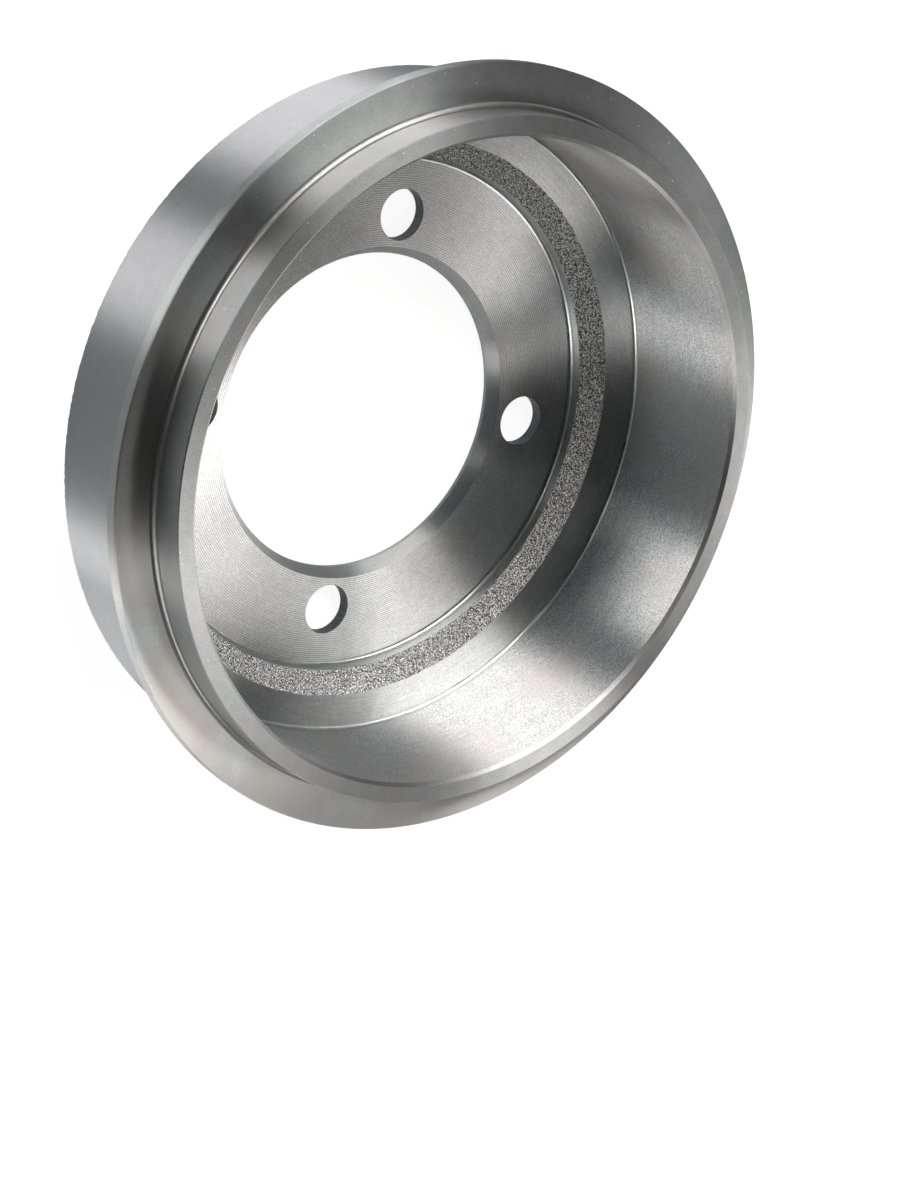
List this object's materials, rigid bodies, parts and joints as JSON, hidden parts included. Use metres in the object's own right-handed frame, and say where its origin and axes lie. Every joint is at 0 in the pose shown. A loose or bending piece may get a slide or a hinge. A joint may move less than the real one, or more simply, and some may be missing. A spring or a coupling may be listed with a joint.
{
  "type": "brake drum",
  "caption": "Cast iron brake drum: a turned cup with a plain friction bore, an outer flange with a lip, and a flat web with a centre bore and stud holes.",
  "frame": {"origin": "centre of the flat outer face of the web, which the wheel is clamped against", "axes": "+Z along the drum's axis towards its open mouth; one stud hole lies towards +X"},
  "size_m": [0.1912, 0.1912, 0.052],
  "materials": {
    "turned_iron": "bare iron, turned bright on the working faces, as cast and grainy on the cone outside the web and the band inside it"
  },
  "bodies": {
    "root": {"brake_drum": "turned_iron"}
  },
  "joints": []
}
